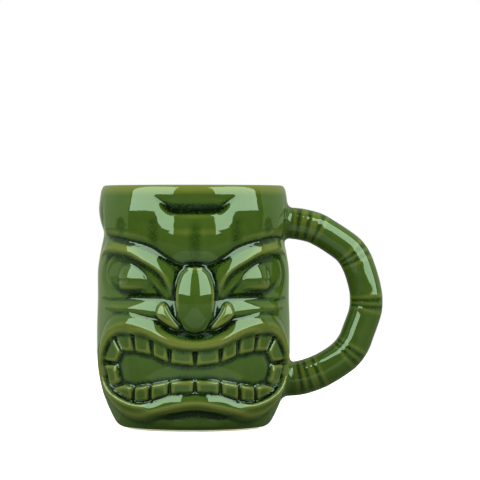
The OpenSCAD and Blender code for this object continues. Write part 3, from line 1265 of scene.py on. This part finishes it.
@dataclass(frozen=True)
class Cup:
    """The cast cup: one closed surface from the middle of the foot, over the rim, to the floor inside."""

    profile: CupProfile
    face: Face
    front_reach: float = 80.0
    front_columns: int = 266
    back_columns: int = 92
    angle_digits: int = 9
    chin_top: float = 8.0
    face_top: float = 84.0
    foot_rows: int = 8
    chin_rows: int = 16
    face_rows: int = 150
    band_rows: int = 46
    rim_rows: int = 9
    inside_rows: int = 30
    relief_softening: int = 1
    fine_passes: int = 2
    near_passes: int = 12
    wide_passes: int = 30
    thin_gain: float = 3.6
    thin_start: float = 0.3
    thin_most: float = 0.85
    # Darkening of what is sunk: pooling glaze, and painted shade in the same hollows.
    pool_and_shade_gain: float = 2.3
    pool_and_shade_start: float = 0.22
    pool_and_shade_most: float = 1.2
    rim_thin: float = 0.75
    rim_reach: Reach = (114.5, 118.0)

    def angles(self) -> Array:
        """Angles of the columns: close together in front, wide apart behind; 0 is the middle of the face.

        Returns:
            The angles in radians, once round the cup.
        """
        front = np.linspace(-self.front_reach, self.front_reach, self.front_columns)
        back = np.linspace(self.front_reach, 360 - self.front_reach, self.back_columns + 2)[1:-1]
        return np.radians(np.concatenate([front, back]))

    def heights(self) -> Array:
        """Heights of the wall's rows, closest together over the face.

        Returns:
            The heights, upwards.
        """
        low, high = self.profile.outside[0][1], self.profile.outside[-1][1]
        return np.concatenate([
            np.linspace(low, self.chin_top, self.chin_rows, endpoint=False),
            np.linspace(self.chin_top, self.face_top, self.face_rows, endpoint=False),
            np.linspace(self.face_top, high, self.band_rows),
        ])

    def everywhere(self, field: Callable[[Array, Array], Array], angle: Array, z: Array) -> Array:
        """A field of the face on the whole wall, worked out on one half of the columns and mirrored.

        Args:
            field: A method of the face that takes the distance across and the height.
            angle: Angles of the columns.
            z: Heights of the rows.

        Returns:
            The field, with a row for each height and a column for each angle.
        """
        turn = np.abs((angle + np.pi) % (2 * np.pi) - np.pi)
        half, back_to_all = np.unique(turn.round(self.angle_digits), return_inverse=True)
        across, up = np.meshgrid(half * UNROLL_RADIUS, z)
        return field(across, up)[:, back_to_all.ravel()]

    def along(self, points: Points, rows: int) -> Array:
        """Evenly spaced rows along a profile.

        Args:
            points: The profile, radius and height.
            rows: How many rows are made.

        Returns:
            Radius and height of each row.
        """
        line = smooth_line(points)
        gone = length_gone(line)
        where = np.linspace(0, gone[-1], rows)
        return np.column_stack([np.interp(where, gone, line[:, k]) for k in (0, 1)])

    def build(self) -> bpy.types.Object:
        """Builds the mesh with its glaze attributes.

        A vertex stands at radius times (sine, minus cosine) of its column's angle, at its row's height.
        On the wall the radius is the profile's plus the relief. A fan closes the surface at each end.

        Returns:
            The cup.
        """
        angle, z = self.angles(), self.heights()
        carved = self.everywhere(self.face.height, angle, z)
        wall_radius = self.profile.radius_at(z)[:, None] + blurred(carved, self.relief_softening)
        foot = self.along(self.profile.underside, self.foot_rows)[:-1]
        rim = self.along(self.profile.rim, self.rim_rows)[1:]
        inner = self.along(self.profile.inside, self.inside_rows)[1:]
        columns = len(angle)
        foot_radius, rim_radius, inner_radius = (
            np.repeat(part[:, :1], columns, 1) for part in (foot, rim, inner)
        )
        radius = np.vstack([foot_radius, wall_radius, rim_radius, inner_radius])
        up = np.concatenate([foot[:, 1], z, rim[:, 1], inner[:, 1]])
        up = np.repeat(up[:, None], columns, 1)
        points = np.stack([radius * np.sin(angle), -radius * np.cos(angle), up], -1).reshape(-1, 3)
        rows = len(radius)
        poles = np.array([[0, 0, foot[0, 1]], [0, 0, inner[-1, 1]]])
        ring = np.arange(columns)
        after, top, pole = (ring + 1) % columns, (rows - 1) * columns, rows * columns
        caps = np.vstack([
            np.column_stack([after, ring, np.full(columns, pole)]),
            np.column_stack([top + ring, top + after, np.full(columns, pole + 1)]),
        ])
        thin, pool_and_shade = self.glaze(carved, angle, z, rows, len(foot))
        ends = np.zeros(len(poles))
        attributes = {
            THIN_ATTRIBUTE: np.concatenate([thin.ravel(), ends]),
            POOL_AND_SHADE_ATTRIBUTE: np.concatenate([pool_and_shade.ravel(), ends]),
        }
        faces = grid_faces(rows, columns).tolist() + caps.tolist()
        return new_piece("carved_cup", np.vstack([points, poles]), faces, attributes)

    def glaze(self, relief: Array, angle: Array, z: Array, rows: int, wall_start: int) -> tuple[Array, Array]:
        """How thin the glaze is at each vertex, and how much it pools or has shade painted in.

        It runs off what stands out of its surroundings and pools in what is sunk, where shade is
        also painted: both are the relief less its own blurred copy, times a gain and less a start. The rim is
        thin.

        Args:
            relief: Relief on the wall.
            angle: Angles of the columns.
            z: Heights of the wall's rows.
            rows: Rows of the whole surface.
            wall_start: Number of the wall's first row.

        Returns:
            The thin share, and the share of pooling glaze and painted shade, on the whole surface.
        """
        passes = (self.fine_passes, self.near_passes, self.wide_passes)
        fine, near, wide = (blurred(relief, count) for count in passes)
        thin_wall = self.thin_gain * (fine - near) - self.thin_start
        thin_wall = thin_wall + self.everywhere(self.face.bared, angle, z)
        edge = ease(z, *self.rim_reach)[:, None]
        # Pooling glaze and painted shade in what is sunk, and in the face's creases.
        pool_and_shade_wall = np.clip(self.pool_and_shade_gain * (wide - fine) - self.pool_and_shade_start, 0, self.pool_and_shade_most)
        pool_and_shade_wall = pool_and_shade_wall + self.everywhere(self.face.pooled_and_shaded, angle, z)
        thin, pool_and_shade = np.zeros((rows, len(angle))), np.zeros((rows, len(angle)))
        wall = slice(wall_start, wall_start + len(z))
        thin[wall] = np.clip(np.clip(thin_wall, 0, self.thin_most) + self.rim_thin * edge, 0, 1)
        pool_and_shade[wall] = np.clip(pool_and_shade_wall, 0, self.pool_and_shade_most)
        thin[wall.stop : wall.stop + self.rim_rows + 1] = self.rim_thin
        return thin, pool_and_shade


# ---- The foot ring ----


@dataclass(frozen=True)
class FootRing:
    """The bare ring that the mug stands on: a rounded bar turned about the axis."""

    outer: float = 33.5
    inner: float = 29.5
    top: float = 2.2
    rounding: float = 0.5
    corner_points: int = 5
    columns: int = 144

    def build(self) -> bpy.types.Object:
        """Turns a rectangle with two rounded lower corners: each of its points stands at its radius.

        Returns:
            The ring.
        """
        r, o, i = self.rounding, self.outer, self.inner
        quarter = np.radians(np.linspace(0, 90, self.corner_points))
        outer_corner = np.column_stack([o - r + r * np.sin(quarter), r - r * np.cos(quarter)])
        inner_corner = np.column_stack([i + r - r * np.cos(quarter), r - r * np.sin(quarter)])
        across = np.linspace(i + r, o - r, self.corner_points)[1:-1]
        flat = np.column_stack([across, np.zeros_like(across)])
        section = np.vstack([outer_corner, [[o, self.top], [i, self.top]], inner_corner, flat])
        angle = np.linspace(0, 2 * np.pi, self.columns, endpoint=False)
        x, y = section[:, :1] * np.sin(angle), -section[:, :1] * np.cos(angle)
        z = np.repeat(section[:, 1:], self.columns, 1)
        points = np.stack([x, y, z], -1).reshape(-1, 3)
        faces = grid_faces(len(section), self.columns, closed_rows=True)
        return new_piece("bare_foot_ring", points, faces, {})


# ---- The handle ----


@dataclass(frozen=True)
class Handle:
    """The bamboo cane bent into a loop, and the slip fillets at its two ends."""

    profile: CupProfile
    line: Points = (
        (43.5, 101.4), (50.0, 101.2), (56.0, 100.2), (62.0, 98.2), (71.0, 92.7), (77.2, 88.0), (80.8, 82.9),
        (83.6, 75.6), (85.5, 68.0), (85.9, 61.6), (85.0, 56.0), (82.0, 47.6), (79.8, 42.0), (76.4, 37.0),
        (71.4, 32.8), (64.0, 28.4), (57.0, 25.6), (51.0, 24.2), (43.5, 23.6),
    )
    upper_radius: float = 7.7
    lower_radius: float = 8.5
    rings_per_stretch: int = 14
    sides: int = 56
    groove_depth: float = 0.1
    groove_half_width: float = 1.5
    # Darker in the ring grooves: pooling glaze and painted shade.
    groove_pool_and_shade: float = 0.36
    swell: float = 0.2
    swell_width: float = 3.2
    swell_level: float = 0.4
    land_place: float = 1.9
    land_width: float = 0.9
    land_thin: float = 0.5
    upper_grooves: tuple[float, ...] = (51.8, 56.4, 61.6)
    nodes: Points = ((79.6, 84.6), (85.9, 61.4), (76.8, 37.6))
    node_half_spread: float = 1.6
    lower_grooves: tuple[float, ...] = (52.6, 56.6, 61.2)
    upper_fillet_height: float = 101.3
    lower_fillet_height: float = 23.9
    fillet: float = 2.9
    fillet_rows: int = 12
    fillet_in_cane: float = 0.8
    fillet_in_wall: float = 1.2
    # Darker where the fillet meets the wall: pooling glaze and painted shade.
    seam_pool_and_shade: float = 0.8

    def path(self) -> tuple[Array, Array, Array]:
        """The cane's middle line, the distance gone along it and its outward direction.

        Returns:
            Points as x and z, the distance to each from the start, and a unit vector across the line.
        """
        line = smooth_line(self.line, steps=self.rings_per_stretch)
        along = np.gradient(line, axis=0)
        along /= np.linalg.norm(along, axis=1)[:, None]
        return line, length_gone(line), np.column_stack([-along[:, 1], along[:, 0]])

    def grooves(self, line: Array, gone: Array) -> Array:
        """Distance along the cane of each ring groove, from where the line passes its place.

        Args:
            line: The middle line.
            gone: The distance gone at each of its points.

        Returns:
            The distances: the upper grooves, a pair at each node, and the lower grooves.
        """
        half = len(line) // 2
        upper = [gone[np.abs(line[:half, 0] - x).argmin()] for x in self.upper_grooves]
        lower = [gone[half + np.abs(line[half:, 0] - x).argmin()] for x in self.lower_grooves]
        middles = [gone[np.linalg.norm(line - np.array(node), axis=1).argmin()] for node in self.nodes]
        pairs = [middle + side * self.node_half_spread for middle in middles for side in (-1, 1)]
        return np.array(upper + pairs + lower)

    def section(self, line: Array, gone: Array) -> tuple[Array, Array, Array]:
        """Radius of the cane at each ring, how deep it is in a groove, and how far it is on a land.

        The radius grows evenly from one end to the other. The cane swells at every groove, as a
        bell curve, and each groove is a soft hump cut into the swelling. A land is the raised
        ring beside a groove, another bell curve.

        Args:
            line: The middle line.
            gone: The distance gone at each of its points.

        Returns:
            The radius, and the groove's and the land's shares from 0 to 1.
        """
        away = np.abs(gone[:, None] - self.grooves(line, gone))
        groove = hump(away, self.groove_half_width).max(1)
        swelling = np.exp(-((away / self.swell_width) ** 2)).max(1)
        land = np.exp(-(((away.min(1) - self.land_place) / self.land_width) ** 2))
        even = self.upper_radius + (self.lower_radius - self.upper_radius) * gone / gone[-1]
        return even + self.swell * (swelling - self.swell_level) - self.groove_depth * groove, groove, land

    def build(self) -> bpy.types.Object:
        """Sweeps the cane: a ring of its radius round each point of the middle line, and a cap at each end.

        Returns:
            The cane, whose ends stop inside the cup's wall.
        """
        line, gone, out = self.path()
        radius, groove, land = self.section(line, gone)
        turn = np.linspace(0, 2 * np.pi, self.sides, endpoint=False)
        across, y = radius[:, None] * np.cos(turn), radius[:, None] * np.sin(turn)
        x = line[:, :1] + out[:, :1] * across
        z = line[:, 1:] + out[:, 1:] * across
        points = np.stack([x, y, z], -1).reshape(-1, 3)
        rows = len(line)
        caps = [list(range(self.sides))[::-1], list(range((rows - 1) * self.sides, rows * self.sides))]
        attributes = {
            THIN_ATTRIBUTE: np.repeat(self.land_thin * land, self.sides),
            # The grooves get pooling glaze and painted shade.
            POOL_AND_SHADE_ATTRIBUTE: np.repeat(self.groove_pool_and_shade * groove, self.sides),
        }
        faces = grid_faces(rows, self.sides).tolist() + caps
        return face_outwards(new_piece("bamboo_handle", points, faces, attributes))

    def fillet_ring(self, name: str, z_middle: float, radius: float) -> bpy.types.Object:
        """A flared collar of slip between the wall and one end of the cane.

        Its radius is the cane's plus the fillet less a quarter circle over the distance from the
        wall, so that it leaves the wall and meets the cane smoothly; its back is inside both.

        Args:
            name: The piece's name.
            z_middle: Height of the cane's middle line at that end.
            radius: The cane's radius there.

        Returns:
            The collar.
        """
        share = np.linspace(0, 1, self.fillet_rows)
        outer = radius + self.fillet * (1 - quarter_round(share))
        within = radius - self.fillet_in_cane
        section_radius = np.concatenate([outer, [within, within, outer[0]]])
        behind = -self.fillet_in_wall
        section_step = np.concatenate([self.fillet * share, [self.fillet, behind, behind]])
        turn = np.linspace(0, 2 * np.pi, self.sides, endpoint=False)
        y = section_radius[:, None] * np.sin(turn)
        z = z_middle + section_radius[:, None] * np.cos(turn)
        x = np.sqrt(self.profile.radius_at(z) ** 2 - y**2) + section_step[:, None]
        points = np.stack([x, y, z], -1).reshape(-1, 3)
        # The ring at the wall is darker: pooling glaze and painted shade in the joint.
        seam = np.zeros_like(y)
        seam[0] = self.seam_pool_and_shade
        attributes = {THIN_ATTRIBUTE: np.zeros_like(y), POOL_AND_SHADE_ATTRIBUTE: seam}
        faces = grid_faces(len(section_radius), self.sides, closed_rows=True)
        return face_outwards(new_piece(name, points, faces, attributes))

    def upper_fillet(self) -> bpy.types.Object:
        """The collar of slip where the cane leaves the headband."""
        return self.fillet_ring("upper_slip_fillet", self.upper_fillet_height, self.upper_radius)

    def lower_fillet(self) -> bpy.types.Object:
        """The collar of slip where the cane comes back to the belly."""
        return self.fillet_ring("lower_slip_fillet", self.lower_fillet_height, self.lower_radius)


# ---- The studio ----


@dataclass(frozen=True)
class Studio:
    """Two soft boxes, a white sweep behind, black cards in front with a painted lit patch, a pale floor and
    the camera.

    Lengths are in metres, and angles in degrees.
    """

    box_distance: float = 1.3
    box_half_angle: float = 29.0
    box_turn: float = 54.5
    box_lifts: tuple[float, float] = (7.0, 61.0)
    box_brightness: float = 3.7
    eye_level: float = 0.07
    white_from_left: float = 87.0
    white_from_right: float = 93.0
    sweep_brightness: float = 0.42
    sweep_colour: Colour = (0.9, 1.0, 0.74)
    room_brightness: float = 0.02
    floor_side: float = 4.0
    floor_back: float = 0.8
    card_corners: Points = ((-0.04, 0.0), (-0.06, -0.03))
    card_lift: float = 0.001
    # A pale card over the black one, seen only in the glaze's reflections: a painted pool of light on the
    # table in front.
    lit_patch_corners: Points = ((-0.1, -0.4), (0.1, -0.4), (0.1, -0.07), (-0.1, -0.07))
    lit_patch_lift: float = 0.0014
    floor_finish: Plain = Plain("floor_white", (0.86, 0.86, 0.85), glow=0.95)
    black_finish: Plain = Plain("card_black", (0.08, 0.08, 0.08))
    grey_finish: Plain = Plain("card_grey", (0.16, 0.16, 0.16))
    pale_finish: Plain = Plain("card_pale", (0.35, 0.35, 0.35))
    camera_distance: float = 1.5
    camera_height: float = 0.105
    camera_turn: float = 1.8
    camera_aside: float = 0.0231
    camera_pitch: float = -0.46
    lens: float = 226.6
    sensor_width: float = 36.0

    def soft_box(self, name: str, side: int) -> None:
        """Stands a soft box on one side of the face: an upright bright rectangle that looks at the mug.

        Args:
            name: The light's name.
            side: -1 for the left and 1 for the right.
        """
        turn = math.radians(self.box_turn)
        low, high = (self.box_distance * math.tan(math.radians(lift)) for lift in self.box_lifts)
        light = bpy.data.lights.new(name, "AREA")
        light.shape = "RECTANGLE"
        light.size = 2 * self.box_distance * math.tan(math.radians(self.box_half_angle))
        light.size_y = high - low
        light.energy = self.box_brightness * math.pi * light.size * light.size_y
        lamp = bpy.data.objects.new(name, light)
        across, ahead = side * self.box_distance * math.sin(turn), -self.box_distance * math.cos(turn)
        lamp.location = (across, ahead, self.eye_level + (low + high) / 2)
        lamp.rotation_euler = (math.radians(90), 0, side * turn)
        lamp.visible_camera = False
        bpy.context.scene.collection.objects.link(lamp)

    def sweep(self) -> None:
        """Sets the world: white behind the mug and at its sides, dark in front, white for the camera."""
        world = bpy.data.worlds.new("studio")
        bpy.context.scene.world = world
        tree = NodeTree(world)
        direction = tree.add("ShaderNodeSeparateXYZ")
        tree.put(direction.inputs[0], tree.add("ShaderNodeTexCoord").outputs["Generated"])
        x, y, _ = direction.outputs
        turn = tree.math("ARCTAN2", x, tree.math("MULTIPLY", y, -1.0))
        left = tree.math("LESS_THAN", turn, math.radians(-self.white_from_left))
        right = tree.math("GREATER_THAN", turn, math.radians(self.white_from_right))
        behind = tree.math("MAXIMUM", left, right)
        brighter = self.sweep_brightness - self.room_brightness
        lit = tree.math("MULTIPLY_ADD", behind, brighter, self.room_brightness)
        seen = tree.add("ShaderNodeLightPath").outputs["Is Camera Ray"]
        tint = tree.add("ShaderNodeMixRGB")
        tree.put(tint.inputs["Fac"], seen)
        tree.put(tint.inputs["Color1"], (*self.sweep_colour, 1.0))
        tree.put(tint.inputs["Color2"], (1.0, 1.0, 1.0, 1.0))
        background = tree.add("ShaderNodeBackground")
        tree.put(background.inputs["Color"], tint.outputs["Color"])
        tree.put(background.inputs["Strength"], tree.math("MAXIMUM", lit, seen))
        tree.put(tree.add("ShaderNodeOutputWorld").inputs["Surface"], background.outputs[0])

    def board(self, name: str, corners: Points, z: float, finish: Plain) -> bpy.types.Object:
        """Lays a flat board of the studio.

        Args:
            name: The board's name.
            corners: Its corners from above, anticlockwise.
            z: Its height.
            finish: Its finish.

        Returns:
            The board, which isn't part of the object.
        """
        flat = np.column_stack([np.array(corners), np.full(len(corners), z)])
        board = new_piece(name, flat / MM, [list(range(len(corners)))], {})
        board.data.materials.append(finish.material())
        return board

    def boards(self) -> None:
        """Lays the floor, and over it the cards that only the glaze's reflections see; the pale one is a
        painted pool of light on the table in front.
        """
        side, back = self.floor_side, self.floor_back
        (right, ahead), (left, nearer) = self.card_corners
        join = ((side, ahead), (right, ahead), (left, nearer), (-side, nearer))
        floor = ((-side, -side), (side, -side), (side, back), (-side, back))
        self.board("pale_floor", floor, 0.0, self.floor_finish)
        cards = (
            self.board("black_card", floor[:2] + join, self.card_lift, self.black_finish),
            self.board("grey_card", join[::-1] + floor[2:], self.card_lift, self.grey_finish),
            # A painted pool of light: the lit patch of table in front, for the reflections.
            self.board("painted_lit_patch", self.lit_patch_corners, self.lit_patch_lift, self.pale_finish),
        )
        for card in cards:
            card.visible_camera = False
            card.visible_shadow = False

    def camera(self) -> None:
        """Sets the camera level in front of the mug, a little aside so that the handle fits in view."""
        turn = math.radians(self.camera_turn)
        forward = Vector((math.sin(turn), math.cos(turn), 0))
        right = Vector((math.cos(turn), -math.sin(turn), 0))
        data = bpy.data.cameras.new("camera")
        data.lens = self.lens
        data.sensor_width = self.sensor_width
        camera = bpy.data.objects.new("camera", data)
        place = -self.camera_distance * forward + self.camera_aside * right
        camera.location = place + Vector((0, 0, self.camera_height))
        camera.rotation_euler = (math.radians(90 + self.camera_pitch), 0, -turn)
        bpy.context.scene.collection.objects.link(camera)
        bpy.context.scene.camera = camera

    def build(self) -> None:
        """Sets up the whole studio."""
        self.soft_box("soft_box_left", -1)
        self.soft_box("soft_box_right", 1)
        self.sweep()
        self.boards()
        self.camera()
        bpy.context.scene.view_settings.view_transform = "Standard"


# ---- The mug ----


def dress(piece: bpy.types.Object, finish: bpy.types.Material, slot: Slot, *nodes: str) -> None:
    """Gives a piece its finish, lets it ride on the mug and hides the CAD nodes that it stands for.

    Args:
        piece: The piece.
        finish: Its material.
        slot: The record's slot that the finish belongs to; not used.
        nodes: Names of the CAD nodes.
    """
    piece.data.materials.append(finish)
    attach(piece, BODY)
    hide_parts(*nodes)
    log.info("%s: %d vertices, stands for %s", piece.name, len(piece.data.vertices), ", ".join(nodes))


def main() -> None:
    """Builds the mug and the studio, in order."""
    logging.basicConfig(level=logging.INFO, format="%(name)s: %(message)s")
    glaze, clay = Glaze().material(), Clay().material()
    profile = CupProfile()
    handle = Handle(profile)
    dress(Cup(profile, Face.on(profile)).build(), glaze, Slot.GLAZE, "cup")
    dress(FootRing().build(), clay, Slot.CLAY, "foot_ring")
    dress(handle.build(), glaze, Slot.GLAZE, "handle")
    dress(handle.upper_fillet(), glaze, Slot.GLAZE, "upper_handle_joint")
    dress(handle.lower_fillet(), glaze, Slot.GLAZE, "lower_handle_joint")
    Studio().build()


if __name__ == "__main__":
    main()
